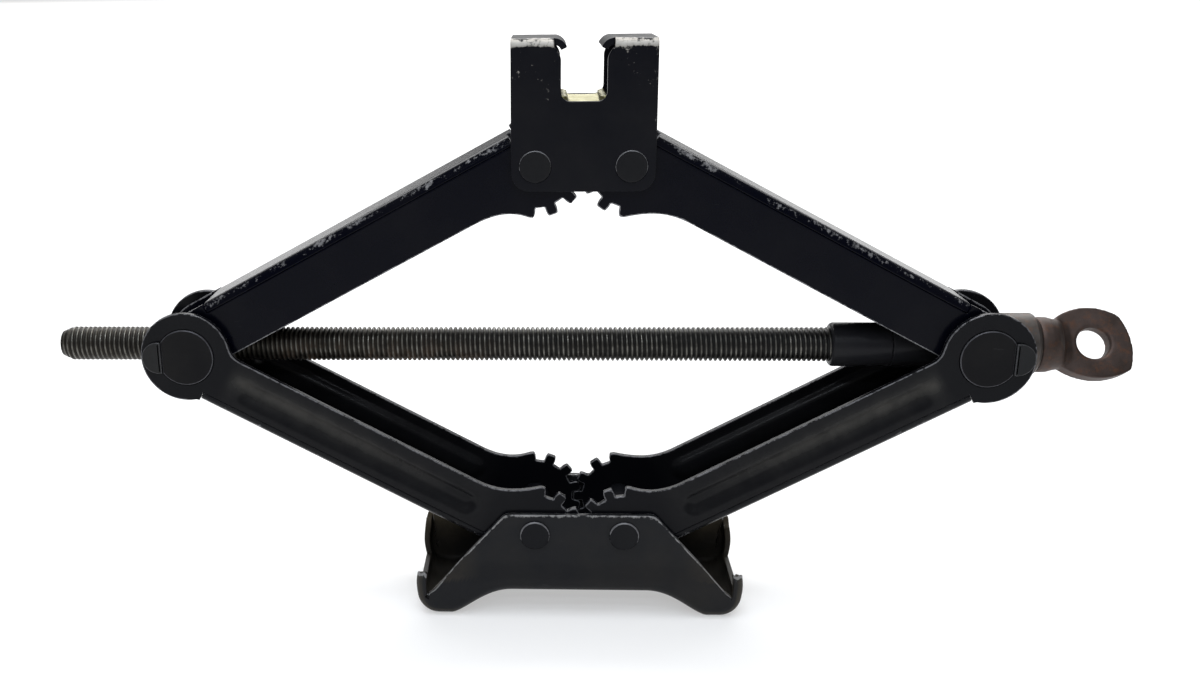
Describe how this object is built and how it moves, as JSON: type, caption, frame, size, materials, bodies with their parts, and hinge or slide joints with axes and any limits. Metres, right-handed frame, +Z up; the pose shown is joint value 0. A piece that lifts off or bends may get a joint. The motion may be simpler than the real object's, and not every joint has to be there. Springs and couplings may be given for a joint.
{
  "type": "scissor jack",
  "caption": "Screw-driven scissor car jack: geared channel arms on a pressed foot, a slotted saddle and a lead screw that ends in a crank eye.",
  "frame": {"origin": "on the ground, midway between the two feet of the foot bracket", "axes": "+X along the lead screw towards the crank eye, +Y to the rear, +Z up"},
  "size_m": [0.4379, 0.0534, 0.2351],
  "materials": {
    "foot_paint": "satin black paint, dusty and scuffed along its edges",
    "lower_arm_paint": "satin black paint with scuffed edges",
    "upper_arm_paint": "gloss black paint with a blue tint, worn grey along the top corners",
    "saddle_paint": "gloss black paint, worn to bare metal along the top",
    "pin_paint": "black paint over a turned steel end",
    "trunnion_paint": "black paint over turned steel",
    "key_paint": "black paint over stamped steel",
    "screw_steel": "oiled rolled thread with rust traces, bare brown forged eye",
    "sleeve_black": "greasy black oxide",
    "bearing_steel": "ground steel",
    "cup_steel": "bare brown steel",
    "zinc_plate": "yellow zinc plate"
  },
  "bodies": {
    "base": {"base_bracket": "foot_paint", "base_pin_left": "pin_paint", "base_pin_right": "pin_paint"},
    "lower_arm_left": {"lower_arm_left": "lower_arm_paint"},
    "lower_arm_right": {"lower_arm_right": "lower_arm_paint"},
    "nut_block": {"nut_trunnion": "trunnion_paint", "nut_key_front": "key_paint", "nut_key_rear": "key_paint"},
    "bearing_block": {"bearing_trunnion": "trunnion_paint", "bearing_key_front": "key_paint", "bearing_key_rear": "key_paint", "thrust_race_fixed": "bearing_steel", "thrust_balls": "bearing_steel"},
    "upper_arm_left": {"upper_arm_left": "upper_arm_paint"},
    "upper_arm_right": {"upper_arm_right": "upper_arm_paint"},
    "saddle": {"saddle_bracket": "saddle_paint", "saddle_insert": "zinc_plate", "saddle_pin_left": "pin_paint", "saddle_pin_right": "pin_paint"},
    "screw": {"lead_screw": "screw_steel", "stop_sleeve": "sleeve_black", "spacer_sleeve": "sleeve_black", "thrust_race_turning": "bearing_steel", "thrust_cup": "cup_steel"}
  },
  "joints": [
    {"name": "lower_left_fold", "type": "hinge", "parent": "base", "child": "lower_arm_left", "pos_m": [-0.0184, 0, 0.0364], "axis": [0, 1, 0], "range_deg": [-22, 52]},
    {"name": "lower_right_fold", "type": "hinge", "parent": "base", "child": "lower_arm_right", "pos_m": [0.0184, 0, 0.0364], "axis": [0, 1, 0], "range_deg": [-52.02, 22.02]},
    {"name": "nut_swivel", "type": "hinge", "parent": "lower_arm_left", "child": "nut_block", "pos_m": [-0.15941, 0, 0.11201], "axis": [0, 1, 0], "range_deg": [-52.02, 22.02]},
    {"name": "bearing_swivel", "type": "hinge", "parent": "lower_arm_right", "child": "bearing_block", "pos_m": [0.15941, 0, 0.11201], "axis": [0, 1, 0], "range_deg": [-22.02, 52.02]},
    {"name": "upper_left_fold", "type": "hinge", "parent": "lower_arm_left", "child": "upper_arm_left", "pos_m": [-0.15941, 0, 0.11201], "axis": [0, 1, 0], "range_deg": [-104.04, 44.04]},
    {"name": "upper_right_fold", "type": "hinge", "parent": "lower_arm_right", "child": "upper_arm_right", "pos_m": [0.15941, 0, 0.11201], "axis": [0, 1, 0], "range_deg": [-44.04, 104.04]},
    {"name": "saddle_level", "type": "hinge", "parent": "upper_arm_left", "child": "saddle", "pos_m": [-0.0184, 0, 0.18762], "axis": [0, 1, 0], "range_deg": [-22.02, 52.02]},
    {"name": "screw_turn", "type": "hinge", "parent": "bearing_block", "child": "screw", "pos_m": [0.15941, 0, 0.11201], "axis": [-1, 0, 0], "range_deg": [-14092.8, 33292.8]}
  ],
  "couplings": [
    {"joint": "lower_right_fold", "follows": "lower_left_fold", "ratio": -1},
    {"joint": "nut_swivel", "follows": "lower_left_fold", "ratio": -1},
    {"joint": "bearing_swivel", "follows": "lower_left_fold", "ratio": 1},
    {"joint": "upper_left_fold", "follows": "lower_left_fold", "ratio": -2},
    {"joint": "upper_right_fold", "follows": "lower_left_fold", "ratio": 2},
    {"joint": "saddle_level", "follows": "lower_left_fold", "ratio": 1},
    {"joint": "screw_turn", "follows": "lower_left_fold", "ratio": 640}
  ]
}
